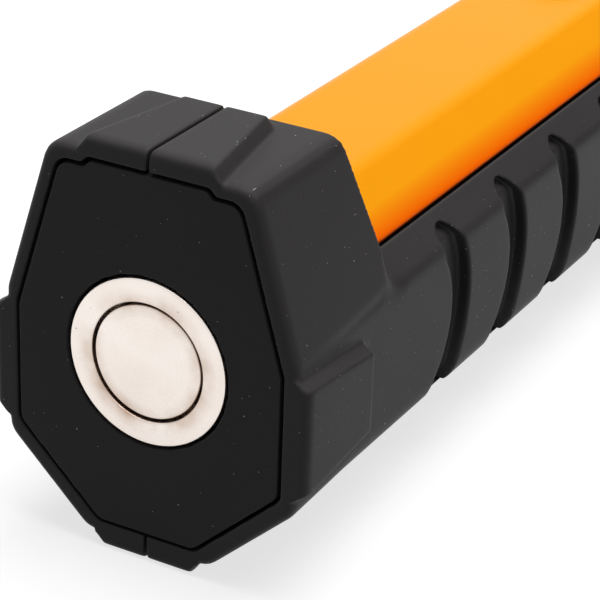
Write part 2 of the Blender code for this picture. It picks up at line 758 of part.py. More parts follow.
door_hole_forms = [turned(f"door_hole_form_{i}", door_hole, (0, y, door_screw_head), (0, 0, 1))
                   for i, y in enumerate(post_ys, 1)]
cut(tray, *door_hole_forms)


# Cells and their contacts

def cell(name, x, way):
    end = CELL_LENGTH - CELL_NUB_HEIGHT
    nub = CELL_NUB_D / 2
    profile = [(0.0, 0.0), (CELL_D / 2, 0.0), (CELL_D / 2, end), (nub, end), (nub, CELL_LENGTH),
               (0.0, CELL_LENGTH)]
    start = cell_start if way > 0 else cell_end
    return turned(name, profile, (x, start, cell_z), (0, way, 0), cell_wrap)


def contact(name, y, way, xs):
    """A contact plate against a tray wall, with a sprung bump for each cell."""
    low = y if way > 0 else y - CONTACT_THICKNESS
    plate = block(
        name,
        (min(xs) - CONTACT_HALF_WIDTH, low, cell_z - CONTACT_HALF_WIDTH),
        (max(xs) + CONTACT_HALF_WIDTH, low + CONTACT_THICKNESS, cell_z + CONTACT_HALF_WIDTH),
        contact_steel)
    base = CONTACT_THICKNESS / 2
    peak = CONTACT_THICKNESS + CONTACT_BUMP
    wide = CONTACT_HALF_WIDTH * 0.75
    bump = [(0.0, base), (wide, base), (wide, CONTACT_THICKNESS), (wide / 2, peak), (0.0, peak)]
    return join(plate, *(turned(f"{name}_bump_form_{i}", bump, (x, y, cell_z), (0, way, 0))
                         for i, x in enumerate(xs, 1)))


cell("battery_left", -cell_x, 1)
cell("battery_right", cell_x, -1)
contact("rear_contact", rear_contact_y, 1, (-cell_x, cell_x))
contact("front_contact_left", front_contact_y + CONTACT_THICKNESS, -1, (-cell_x,))
contact("front_contact_right", front_contact_y + CONTACT_THICKNESS, -1, (cell_x,))


# Battery door: the housing's keel and chamfers over the bay, with a seal all round its edge

def trough(outer, inner, top):
    """The part of a shell between two outlines that lies below a height."""
    return outline([
        inner[3],
        (half_width_at(inner, top), top),
        (half_width_at(outer, top), top),
        outer[3],
    ])


inside = shrunk(body, WALL)
seal_top = door_edge - GAP
seal_room = GAP + SEAL_THICKNESS
door_top = seal_top - SEAL_THICKNESS - GAP
door_start = bay_start + seal_room + GAP
door_end = bay_end - seal_room - GAP
door_radii = [0.0, 0.0, 0.0, LOW_CORNER_RADIUS]
door = prism("battery_door", rounded(trough(body, inside, door_top), door_radii + door_radii[::-1]),
             door_start, door_end, black_plastic)
cut(door, *door_hole_forms)
seal_section = trough(shrunk(body, GAP), inside, seal_top)
seal = prism("door_seal", rounded(seal_section, door_radii + door_radii[::-1]), bay_start + GAP,
             bay_end - GAP, seal_rubber)
cut(seal, block("seal_window_form", (-2 * body_half_width, bay_start + seal_room, 2 * body_bottom),
                (2 * body_half_width, bay_end - seal_room, seal_top - SEAL_THICKNESS)))
for place, y in zip(("rear", "front"), post_ys):
    turned(f"door_screw_{place}", screw_profile(door_screw_length), (0, y, door_screw_head), (0, 0, 1),
           screw_steel)
carry("battery_door_lift", (0, (bay_start + bay_end) / 2, body_bottom), door, seal,
      bpy.data.objects["door_screw_rear"], bpy.data.objects["door_screw_front"])


# Circuit board and what stands on it

board_outline = outline([
    (BOARD_TONGUE_HALF_WIDTH, board_end),
    (BOARD_TONGUE_HALF_WIDTH, board_shoulder),
    (BOARD_HALF_WIDTH, board_shoulder),
    (BOARD_HALF_WIDTH, board_start),
])
loft("circuit_board", [along_z(board_under, board_outline), along_z(board_top, board_outline)],
     board_green)
on_board = board_top + GAP
turned("buzzer",
       [(0.0, 0.0), (BUZZER_D / 2, 0.0), (BUZZER_D / 2, BUZZER_HEIGHT), (BUZZER_D / 8, BUZZER_HEIGHT),
        (BUZZER_D / 8, BUZZER_HEIGHT / 2), (0.0, BUZZER_HEIGHT / 2)],
       (0, board_start + BUZZER_SETBACK, on_board), (0, 0, 1), black_plastic)


def press_set(name, length, y):
    """A button in the spine, its switch on the board and the plunger between them."""
    steps = [(flange_under, FLANGE_WIDTH), (flange_top, FLANGE_WIDTH), (flange_top, 0.0)]
    for step in range(ARC_STEPS + 1):
        angle = math.pi / 2 * step / ARC_STEPS
        rise = BUTTON_PROUD - BUTTON_ROUND * (1 - math.sin(angle))
        steps.append((BODY_TOP + rise, -BUTTON_ROUND * (1 - math.cos(angle))))
    button = loft(f"{name}_button",
                  [along_z(z, button_outline(length, y, grow)) for z, grow in steps], button_rubber)
    half = SWITCH_SIZE / 2
    switch = block(f"{name}_switch", (-half, y - half, switch_under), (half, y + half, switch_top),
                   black_plastic)
    bore = PLUNGER_D / 2 + GAP
    bore_floor = switch_top - BUTTON_TRAVEL - 3 * GAP
    over = switch_top + SWITCH_HEIGHT
    cut(switch, turned(f"{name}_plunger_bore_form",
                       [(0.0, bore_floor), (bore, bore_floor), (bore, over), (0.0, over)],
                       (0, y, 0), (0, 0, 1)))
    low = bore_floor + BUTTON_TRAVEL + GAP
    high = flange_under - GAP
    plunger = turned(f"{name}_plunger",
                     [(0.0, low), (PLUNGER_D / 2, low), (PLUNGER_D / 2, high), (0.0, high)],
                     (0, y, 0), (0, 0, 1), inner_plastic)
    carry(f"{name}_press", (0, y, BODY_TOP), button, plunger)


for name, length, y in BUTTONS:
    press_set(name, length, y)


# Nose: a loft from the housing's section to a small front, with a spigot inside the housing

probe_z = board_top + GAP + ANTENNA_THICKNESS / 2
collar_height = TIP_ROOT_HEIGHT + 2 * (GAP + COLLAR_BORDER)
collar_width = TIP_ROOT_WIDTH + 2 * (GAP + COLLAR_BORDER)
torch_z = probe_z - collar_height / 2 - TORCH_WEB - GAP - TORCH_D / 2
front_top = probe_z + TIP_ROOT_HEIGHT / 2 + TIP_FLANGE + TIP_ROOM + NOSE_WALL
front_low = torch_z - TORCH_D / 2 - GAP - TORCH_WEB - NOSE_WALL
front_scale = (front_top - front_low) / (BODY_TOP - body_bottom)
front = [(x * NOSE_FRONT_HALF_WIDTH / body_half_width, front_low + (z - body_bottom) * front_scale)
         for x, z in body]


def between(first, last, share):
    return [(a + (c - a) * share, b + (d - b) * share) for (a, b), (c, d) in zip(first, last)]


def nose_rings():
    radii = [NOSE_EDGE_RADIUS] * 8
    spigot = inset(body, [width + GAP for width in roof_and_walls])
    rings = [along_y(spigot_start, rounded(spigot, radii)), along_y(nose_start, rounded(spigot, radii))]
    taper = NOSE_LENGTH - NOSE_EDGE_RADIUS
    for step in range(NOSE_STATIONS + 1):
        share = step / NOSE_STATIONS
        section = between(body, front, share ** NOSE_FULLNESS)
        rings.append(along_y(nose_start + taper * share, rounded(section, radii)))
    for step in range(1, ARC_STEPS + 1):
        angle = math.pi / 2 * step / ARC_STEPS
        across = NOSE_EDGE_RADIUS * (1 - math.cos(angle))
        y = nose_start + taper + NOSE_EDGE_RADIUS * math.sin(angle)
        rings.append(along_y(y, rounded(shrunk(front, across), radii)))
    return rings


nose = loft("nose_shell", nose_rings(), black_plastic)
nose_inner = inset(body, [width + GAP + SPIGOT_WALL for width in roof_and_walls])
cut(nose,
    loft("nose_cavity_form",
         [along_y(spigot_start - WALL, nose_inner),
          along_y(nose_start, nose_inner),
          along_y(nose_end - NOSE_FRONT_WALL, shrunk(front, NOSE_WALL))]),
    prism("tip_hole_form",
          oblong(TIP_ROOT_WIDTH + 2 * GAP, TIP_ROOT_HEIGHT + 2 * GAP, TIP_ROOT_HEIGHT, 0.0, probe_z),
          nose_end - NOSE_LENGTH / 2, nose_end + WALL),
    turned("torch_hole_form",
           [(0.0, -NOSE_LENGTH / 2), (TORCH_D / 2 + GAP, -NOSE_LENGTH / 2), (TORCH_D / 2 + GAP, WALL),
            (0.0, WALL)],
           (0, nose_end, torch_z), (0, 1, 0)))
nose_seal = prism("nose_seal", shrunk(body, GAP), body_end + GAP, body_end + GAP + NOSE_SEAL_THICKNESS,
                  seal_rubber)
cut(nose_seal, prism("seal_hole_form", inset(body, roof_and_walls), body_end - WALL, body_end + WALL))


# Sensing tip, its light collar, the antenna and the indicator

def tip_section(share, grow=0.0):
    width = TIP_ROOT_WIDTH + (TIP_END_WIDTH - TIP_ROOT_WIDTH) * share + 2 * grow
    height = TIP_ROOT_HEIGHT + (TIP_END_HEIGHT - TIP_ROOT_HEIGHT) * share + 2 * grow
    return oblong(width, height, height / 2, 0.0, probe_z)


collar_start = nose_end + GAP
collar_end = collar_start + COLLAR_LENGTH
taper_start = collar_end
taper_end = tip_end - TIP_END_LENGTH
tip_rings = [
    along_y(flange_start, tip_section(0.0, TIP_FLANGE)),
    along_y(flange_end, tip_section(0.0, TIP_FLANGE)),
    along_y(flange_end, tip_section(0.0)),
    along_y(taper_start, tip_section(0.0)),
]
for step in range(ARC_STEPS + 1):
    angle = math.pi / 2 * step / ARC_STEPS
    end_y = taper_end + TIP_END_LENGTH * math.sin(angle)
    end_in = TIP_END_HEIGHT / 3 * (1 - math.cos(angle))
    tip_rings.append(along_y(end_y, tip_section(1.0, -end_in)))
tip = loft("probe_tip", tip_rings, tip_plastic)
cut(tip, loft("tip_bore_form", [
    along_y(flange_start - WALL, tip_section(0.0, -TIP_WALL)),
    along_y(taper_start, tip_section(0.0, -TIP_WALL)),
    along_y(taper_end - TIP_WALL, tip_section(1.0, -TIP_WALL)),
]))
collar = loft("light_collar", [
    along_y(collar_start, oblong(collar_width, collar_height, collar_height / 2, 0.0, probe_z)),
    along_y(collar_end - COLLAR_BORDER / 2,
            oblong(collar_width, collar_height, collar_height / 2, 0.0, probe_z)),
    along_y(collar_end, oblong(collar_width - COLLAR_BORDER, collar_height - COLLAR_BORDER,
                               collar_height / 2, 0.0, probe_z)),
], clear_plastic)
cut(collar, prism("collar_hole_form",
                  oblong(TIP_ROOT_WIDTH + 2 * GAP, TIP_ROOT_HEIGHT + 2 * GAP, TIP_ROOT_HEIGHT, 0.0,
                         probe_z),
                  collar_start - WALL, collar_end + WALL))
antenna_end = taper_end - TIP_WALL - GAP
block("antenna",
      (-ANTENNA_WIDTH / 2, board_end - ANTENNA_LAP, probe_z - ANTENNA_THICKNESS / 2),
      (ANTENNA_WIDTH / 2, antenna_end, probe_z + ANTENNA_THICKNESS / 2), copper)
led_x = ANTENNA_WIDTH / 2 + GAP + LED_D / 2
turned("indicator_led",
       [(0.0, 0.0), (LED_D / 2, 0.0), (LED_D / 2, LED_LENGTH - LED_D / 2),
        (LED_D * 0.35, LED_LENGTH - LED_D * 0.15), (0.0, LED_LENGTH)],
       (led_x, board_end - LED_LENGTH - GAP, on_board + LED_D / 2), (0, 1, 0), led_resin)


# Torch: lens in the nose's front wall, reflector behind it, light source behind the reflector

lens_front = nose_end - LENS_CROWN
lens_back = lens_front - LENS_THICKNESS
turned("torch_lens",
       [(0.0, lens_back), (TORCH_D / 2, lens_back), (TORCH_D / 2, lens_front - LENS_CROWN),
        (TORCH_D / 4, lens_front - LENS_CROWN / 4), (0.0, lens_front)],
       (0, 0, torch_z), (0, 1, 0), clear_plastic)
mirror_front = lens_back - GAP
mirror_back = mirror_front - REFLECTOR_LENGTH
rear_bore = TORCH_LED_D / 2 + GAP
mouth = TORCH_D / 2
waist = (mouth + rear_bore) / 2
bulge = mirror_back + REFLECTOR_LENGTH / 3
turned("torch_reflector",
       [(rear_bore, mirror_back), (rear_bore + REFLECTOR_WALL, mirror_back),
        (waist + REFLECTOR_WALL, bulge), (mouth, mirror_front), (mouth - REFLECTOR_WALL, mirror_front),
        (waist, bulge)],
       (0, 0, torch_z), (0, 1, 0), mirror_metal, closed=True)
led_back = mirror_back - GAP - LED_LENGTH / 3
turned("torch_led",
       [(0.0, led_back), (rear_bore + REFLECTOR_WALL, led_back),
        (rear_bore + REFLECTOR_WALL, mirror_back - GAP), (TORCH_LED_D / 2, mirror_back - GAP),
        (TORCH_LED_D / 2, mirror_back + TORCH_LED_D / 3), (TORCH_LED_D / 4, mirror_back + TORCH_LED_D * 0.7),
        (0.0, mirror_back + TORCH_LED_D * 0.8)],
       (0, 0, torch_z), (0, 1, 0), led_resin)
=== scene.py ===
"""Looks of the non contact voltage tester: its moulded pieces and their finishes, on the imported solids."""

import json
import math

import bmesh
import bpy
from mathutils import Matrix, Vector
from mathutils.geometry import intersect_point_line

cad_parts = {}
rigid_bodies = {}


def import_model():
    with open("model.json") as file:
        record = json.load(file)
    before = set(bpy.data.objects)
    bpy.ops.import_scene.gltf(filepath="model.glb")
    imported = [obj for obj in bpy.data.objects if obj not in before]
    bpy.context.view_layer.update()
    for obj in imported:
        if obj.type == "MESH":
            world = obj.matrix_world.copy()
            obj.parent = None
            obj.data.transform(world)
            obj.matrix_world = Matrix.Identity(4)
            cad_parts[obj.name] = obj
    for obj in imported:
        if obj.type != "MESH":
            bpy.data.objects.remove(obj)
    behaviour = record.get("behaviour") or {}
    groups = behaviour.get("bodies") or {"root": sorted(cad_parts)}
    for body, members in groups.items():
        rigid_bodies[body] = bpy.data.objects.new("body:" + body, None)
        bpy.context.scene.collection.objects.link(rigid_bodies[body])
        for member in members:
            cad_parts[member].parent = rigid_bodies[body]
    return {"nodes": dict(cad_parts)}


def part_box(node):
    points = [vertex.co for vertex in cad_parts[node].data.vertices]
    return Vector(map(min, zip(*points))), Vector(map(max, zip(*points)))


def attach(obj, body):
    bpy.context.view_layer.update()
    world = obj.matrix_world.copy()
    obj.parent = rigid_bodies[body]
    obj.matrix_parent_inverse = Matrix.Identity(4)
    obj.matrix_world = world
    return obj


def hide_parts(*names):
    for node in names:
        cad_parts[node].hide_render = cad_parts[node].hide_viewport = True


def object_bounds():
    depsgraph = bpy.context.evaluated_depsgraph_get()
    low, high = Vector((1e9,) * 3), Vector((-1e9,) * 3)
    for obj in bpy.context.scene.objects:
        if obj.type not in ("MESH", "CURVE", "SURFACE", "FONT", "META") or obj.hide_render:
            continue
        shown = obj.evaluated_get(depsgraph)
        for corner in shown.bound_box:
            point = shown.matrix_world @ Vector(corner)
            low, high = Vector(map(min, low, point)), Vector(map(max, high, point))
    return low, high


for old in list(bpy.data.objects):
    bpy.data.objects.remove(old)
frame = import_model()
cad_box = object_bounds()  # taken before any piece stands in for a solid


# Housing halves: two hollow mouldings in soft-touch rubber over a hard core, drawn together by screws.
# Each carries half of the base bumper with its raised pads, and half of the grooved grip.
# The mould leaves every edge softly rounded, and the bumper sweeps into the grip's shoulder.

MM = 0.001


def add(tree, kind, links=None, **settings):
    """Adds a node; links sets each named input, from another node's socket or to a plain value."""
    made = tree.nodes.new(kind)
    for name, value in settings.items():
        setattr(made, name, value)
    for name, source in (links or {}).items():
        if isinstance(source, bpy.types.NodeSocket):
            tree.links.new(source, made.inputs[name])
        else:
            made.inputs[name].default_value = source
    return made


def linear(code):
    """A linear colour from an sRGB hex code."""
    shares = [int(code[i:i + 2], 16) / 255 for i in (1, 3, 5)]
    return (*(s / 12.92 if s <= 0.04045 else ((s + 0.055) / 1.055) ** 2.4 for s in shares), 1.0)


def finish(name, **settings):
    """A new material with its shader's plain settings, and the coordinates that its patterns read."""
    made = bpy.data.materials.new(name)
    made.use_nodes = True
    tree = made.node_tree
    shader = tree.nodes["Principled BSDF"]
    for socket, value in settings.items():
        shader.inputs[socket.replace("_", " ")].default_value = value
    place = add(tree, "ShaderNodeTexCoord").outputs["Object"]
    return made, tree, shader, place


def per(millimetres):
    """The texture scale that gives one cell of a pattern this size."""
    return 1 / (millimetres * MM)


def mixed(tree, share, first, second):
    """A colour between two, by a share from 0 to 1."""
    return add(tree, "ShaderNodeMix", {"Factor": share, "A": first, "B": second},
               data_type="RGBA").outputs["Result"]


def spread(tree, value, low, high, to_low=0.0, to_high=1.0):
    """A value's range from low to high, laid over another range."""
    return add(tree, "ShaderNodeMapRange", {"Value": value, "From Min": low, "From Max": high,
                                            "To Min": to_low, "To Max": to_high}).outputs["Result"]


def cloudy(tree, place, size, detail=4.0):
    """A soft noise from 0 to 1 with blotches of this size, in millimetres."""
    return add(tree, "ShaderNodeTexNoise", {"Vector": place, "Scale": per(size),
                                            "Detail": detail}).outputs["Fac"]


def grain(tree, shader, place, size, height):
    """A fine moulded grain as bump: size is one grain and height its depth, in millimetres."""
    bump = add(tree, "ShaderNodeBump", {"Height": cloudy(tree, place, size, 2.0), "Strength": 1.0,
                                        "Distance": height * MM})
    tree.links.new(bump.outputs["Normal"], shader.inputs["Normal"])


def specks(tree, place, spacing, radius, share):
    """A mask of dust specks, one in some cells of a grid of this spacing; sizes in millimetres."""
    cells = add(tree, "ShaderNodeTexVoronoi", {"Vector": place, "Scale": per(spacing)})
    near = spread(tree, cells.outputs["Distance"], radius / spacing, 0.5 * radius / spacing)
    draw = add(tree, "ShaderNodeSeparateColor", {"Color": cells.outputs["Color"]})
    chosen = add(tree, "ShaderNodeMath", {0: draw.outputs["Red"], 1: share}, operation="LESS_THAN")
    faint = add(tree, "ShaderNodeMath", {0: chosen.outputs[0], 1: draw.outputs["Green"]},
                operation="MULTIPLY")
    return add(tree, "ShaderNodeMath", {0: near, 1: faint.outputs[0]}, operation="MULTIPLY").outputs[0]


def new_piece(name, mesh):
    """A new object in the scene, at the origin."""
    piece = bpy.data.objects.new(name, mesh)
    bpy.context.scene.collection.objects.link(piece)
    return piece


def plain_mesh(piece):
    """The piece's mesh with its modifiers worked in."""
    graph = bpy.context.evaluated_depsgraph_get()
    mesh = bpy.data.meshes.new_from_object(piece.evaluated_get(graph))
    piece.modifiers.clear()
    mesh.name = piece.name
    return mesh


def softened(node, voxel, rounds):
    """A copy of a node's solid with every edge rounded, as a mould leaves it; voxel in millimetres."""
    piece = new_piece(node + "_moulded", frame["nodes"][node].data.copy())
    piece.data.materials.clear()
    form = bmesh.new()
    form.from_mesh(piece.data)
    bmesh.ops.remove_doubles(form, verts=form.verts, dist=0.001 * MM)
    form.to_mesh(piece.data)
    form.free()
    remesh = piece.modifiers.new("skin", "REMESH")
    remesh.mode = "VOXEL"
    remesh.voxel_size = voxel * MM
    smooth = piece.modifiers.new("soften", "SMOOTH")
    smooth.factor = 0.5
    smooth.iterations = rounds
    piece.data = plain_mesh(piece)
    return piece


def eased(piece, start, end, reach, rounds):
    """Works the surface within reach of a line into a sweeping curve, in ever narrower rounds."""
    lost_reach = 0.6  # share of the reach that is given up by the last round
    too_far = 3 * reach  # along Y, well clear of the line
    form = bmesh.new()
    form.from_mesh(piece.data)
    ranked = []
    for vert in form.verts:
        if abs(vert.co.y - start.y) > too_far:
            continue
        near, share = intersect_point_line(vert.co, start, end)
        near = start if share < 0 else end if share > 1 else near
        ranked.append(((vert.co - near).length, vert))
    for step in range(rounds):
        limit = reach * (1 - lost_reach * step / rounds)
        bmesh.ops.smooth_vert(form, verts=[vert for away, vert in ranked if away < limit], factor=0.5,
                              use_axis_x=True, use_axis_y=True, use_axis_z=True)
    form.to_mesh(piece.data)
    form.free()


def thinned(piece, limit):
    """Takes the mesh down to this many triangles, and shades it smooth."""
    piece.data.calc_loop_triangles()
    count = len(piece.data.loop_triangles)
    if count > limit:
        thin = piece.modifiers.new("thin", "DECIMATE")
        thin.ratio = limit / count
        piece.data = plain_mesh(piece)
    piece.data.shade_smooth()


def settle(piece, body, slot, material, *nodes):
    """Gives a finished piece its material, its body and the nodes that it stands for. The slot is not used.
    """
    piece.data.materials.clear()
    piece.data.materials.append(material)
    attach(piece, body)
    if nodes:
        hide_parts(*nodes)


def dusty_rubber(name, low, high, roughness, dust):
    """Satin rubber: near black, a fine even grain, and dust and lint caught by the tacky surface.

    Real grain and dust are finer; they are drawn as coarse as they need to be to show.
    """
    uneven = 0.06  # how far the roughness strays
    made, tree, shader, place = finish(name, IOR=1.5, Specular_IOR_Level=0.1)
    cloud = cloudy(tree, place, size=9)
    tone = mixed(tree, cloud, linear(low), linear(high))
    coarse = mixed(tree, specks(tree, place, spacing=1.5, radius=0.085, share=0.55), tone, linear(dust))
    fine = mixed(tree, specks(tree, place, spacing=0.6, radius=0.05, share=0.4), coarse, linear(dust))
    for angle in (0.6, 2.2):  # lint: specks drawn out along two slants
        drawn = add(tree, "ShaderNodeMapping", {"Vector": place, "Rotation": (angle, 0.4, angle),
                                                "Scale": (1.0, 0.1, 0.7)}).outputs["Vector"]
        lint = specks(tree, drawn, spacing=1.5, radius=0.055, share=0.2)
        fine = mixed(tree, lint, fine, linear(dust))
    tree.links.new(fine, shader.inputs["Base Color"])
    tree.links.new(spread(tree, cloud, 0, 1, roughness - uneven, roughness + uneven),
                   shader.inputs["Roughness"])
    grain(tree, shader, place, size=0.22, height=0.014)
    return made


rubber = dusty_rubber("soft_touch_rubber", low="#323030", high="#373535", roughness=0.48, dust="#c8c4c0")
for side, way in (("left", -1), ("right", 1)):
    half = softened(f"{side}_housing", voxel=0.15, rounds=8)
    shoulder_top = Vector((12.2 * way, 16.9, 4.6)) * MM
    shoulder_side = Vector((14.0 * way, 17.2, 3.0)) * MM
    eased(half, shoulder_top, shoulder_side, reach=2.4 * MM, rounds=90)
    thinned(half, limit=190000)
    settle(half, "body", "grip_rubber", rubber, f"{side}_housing")


# Base plate: a flat cap in hard black plastic, pressed into the bumper's rim round the magnet.
# Its face has the fine spark-eroded texture of a plain tool, and gathers dust as the rubber does.

plate_plastic = dusty_rubber("spark_eroded_plastic", low="#2a2929", high="#2e2d2d", roughness=0.55,
                             dust="#c8c4c0")
plate = softened("base_plate", voxel=0.11, rounds=5)
thinned(plate, limit=120000)
settle(plate, "body", "plate_plastic", plate_plastic, "base_plate")


# Pot magnet: a steel cup with the magnet disc set in it, ground flat and nickel plated.
# Grinding leaves faint rings, and handling leaves warm stains by the gap and small dark specks.

def turned(name, profile, sides):
    """A solid turned about the Y axis from a closed profile of (radius, y) corners."""
    form = bmesh.new()
    rings = []
    for step in range(sides):
        turn = Matrix.Rotation(math.tau * step / sides, 3, "Y")
        rings.append([form.verts.new(turn @ Vector((r, y, 0))) for r, y in profile])
    for near, far in zip(rings, rings[1:] + rings[:1]):
        for i in range(len(profile) - 1):
            form.faces.new((near[i], near[i + 1], far[i + 1], far[i]))
    bmesh.ops.remove_doubles(form, verts=form.verts, dist=0.0005 * MM)
    bmesh.ops.recalc_face_normals(form, faces=form.faces)
    mesh = bpy.data.meshes.new(name)
    form.to_mesh(mesh)
    form.free()
    mesh.shade_smooth()
    mesh.set_sharp_from_angle(angle=math.radians(40))
    return new_piece(name, mesh)


def edge_arc(radius, y, size, outward):
    """Profile points of a rounded edge at (radius, y), from the face round to the side."""
    steps = 5
    points = []
    for step in range(steps + 1):
        angle = math.pi / 2 * step / steps
        points.append((radius - outward * size * (1 - math.sin(angle)), y + size * (1 - math.cos(angle))))
    return points


def ground_nickel(ring_edge):
    """Bright nickel plate over ground steel: rings from grinding, and stains that gather by the gap."""
    stain_reach = 1.4 * MM
    ring_width = 0.22  # coarser than real grinding marks, so that they show
    made, tree, shader, place = finish("ground_nickel", Metallic=1.0)
    spot = add(tree, "ShaderNodeSeparateXYZ", {"Vector": place})
    flat = add(tree, "ShaderNodeCombineXYZ", {"X": spot.outputs["X"], "Y": spot.outputs["Z"]})
    radius = add(tree, "ShaderNodeVectorMath", {0: flat.outputs["Vector"]},
                 operation="LENGTH").outputs["Value"]
    rings = add(tree, "ShaderNodeTexNoise", {"W": radius, "Scale": per(ring_width), "Detail": 2.0},
                noise_dimensions="1D").outputs["Fac"]
    blotch = cloudy(tree, place, size=5.0, detail=5.0)
    away = add(tree, "ShaderNodeMath", {0: radius, 1: ring_edge}, operation="SUBTRACT")
    gap = add(tree, "ShaderNodeMath", {0: away.outputs[0]}, operation="ABSOLUTE")
    close = spread(tree, gap.outputs[0], stain_reach, 0.1 * MM, 0.15, 1.0)
    stain = add(tree, "ShaderNodeMath", {0: spread(tree, blotch, 0.38, 0.7), 1: close}, operation="MULTIPLY")
    tint = mixed(tree, stain.outputs[0], linear("#ece3dc"), linear("#b49a86"))
    flecks = specks(tree, place, spacing=1.4, radius=0.08, share=0.3)
    tree.links.new(mixed(tree, flecks, tint, linear("#5a4c44")), shader.inputs["Base Color"])
    tree.links.new(spread(tree, rings, 0, 1, 0.2, 0.36), shader.inputs["Roughness"])
    bump = add(tree, "ShaderNodeBump", {"Height": rings, "Strength": 0.5, "Distance": 0.002 * MM})
    tree.links.new(bump.outputs["Normal"], shader.inputs["Normal"])
    return made


cup_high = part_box("magnet_cup")[1]
disc_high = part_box("magnet_disc")[1]
ring_inner = disc_high.x + 0.25 * MM  # the gap round the disc
cup_floor = disc_high.y + 0.3 * MM  # the glue under it
disc_face = 0.1 * MM  # the disc sits a little behind the ring, so that the ring meets the steel
inner_edge = 0.2 * MM
outer_edge = 0.22 * MM
disc_edge = 0.25 * MM
nickel = ground_nickel(ring_inner)
cup = turned("magnet_cup_plated",
             [(0.0, cup_floor), (ring_inner, cup_floor)]
             + edge_arc(ring_inner, 0.0, inner_edge, outward=-1)[::-1]
             + edge_arc(cup_high.x, 0.0, outer_edge, outward=1)
             + [(cup_high.x, cup_high.y), (0.0, cup_high.y)], sides=160)
settle(cup, "body", "nickel_plate", nickel, "magnet_cup")
disc = turned("magnet_disc_plated",
              [(0.0, disc_face)] + edge_arc(disc_high.x, disc_face, disc_edge, outward=1)
              + [(disc_high.x, disc_high.y), (0.0, disc_high.y)], sides=160)
settle(disc, "body", "nickel_plate", nickel, "magnet_disc")


# Spine cover: a bent strip of glossy orange ABS, clipped between the halves along the whole grip.
# Its orange is painted deeper towards the thin lower edges: painted shade, for the dimmer light there.

def orange_abs():
    """Smooth moulded ABS: an even bright orange with a soft gloss, and painted shade that deepens it towards
    the lower edges.
    """
    made, tree, shader, place = finish("orange_abs", Roughness=0.3, IOR=1.5, Specular_IOR_Level=0.05)
    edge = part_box("spine_cover")[0].z
    # Painted shade: full red-orange below the first height, fading out by the second.
    painted_shade_full_below, painted_shade_gone_above = edge + 1.5 * MM, edge + 3.2 * MM
    spot = add(tree, "ShaderNodeSeparateXYZ", {"Vector": place})
    up = spread(tree, spot.outputs["Z"], painted_shade_full_below, painted_shade_gone_above)
    body = mixed(tree, cloudy(tree, place, size=14, detail=3.0), linear("#ffa10d"), linear("#ffa513"))
    # The painted shade's red-orange is laid under the plain orange body colour here.
    tone = mixed(tree, up, linear("#f86200"), body)
    dust = specks(tree, place, spacing=3.0, radius=0.06, share=0.15)
    tree.links.new(mixed(tree, dust, tone, linear("#b06a20")), shader.inputs["Base Color"])
    grain(tree, shader, place, size=0.6, height=0.0012)
    return made


spine = softened("spine_cover", voxel=0.18, rounds=5)
thinned(spine, limit=150000)
settle(spine, "body", "orange_plastic", orange_abs(), "spine_cover")


# Screws: blackened steel with cross recesses, three across the housing and two up through the door.
# Their heads sit in counterbores, and their threads cut their own way into the plastic posts.

def blackened_steel():
    """Steel with a thin black oxide: dark grey, a dull shine that varies from spot to spot."""
    made, tree, shader, place = finish("blackened_steel", Metallic=1.0)
    cloud = cloudy(tree, place, size=0.8)
    tree.links.new(mixed(tree, cloud, linear("#55534f"), linear("#6d6a66")), shader.inputs["Base Color"])
    tree.links.new(spread(tree, cloud, 0, 1, 0.28, 0.45), shader.inputs["Roughness"])
    grain(tree, shader, place, size=0.1, height=0.002)
    return made


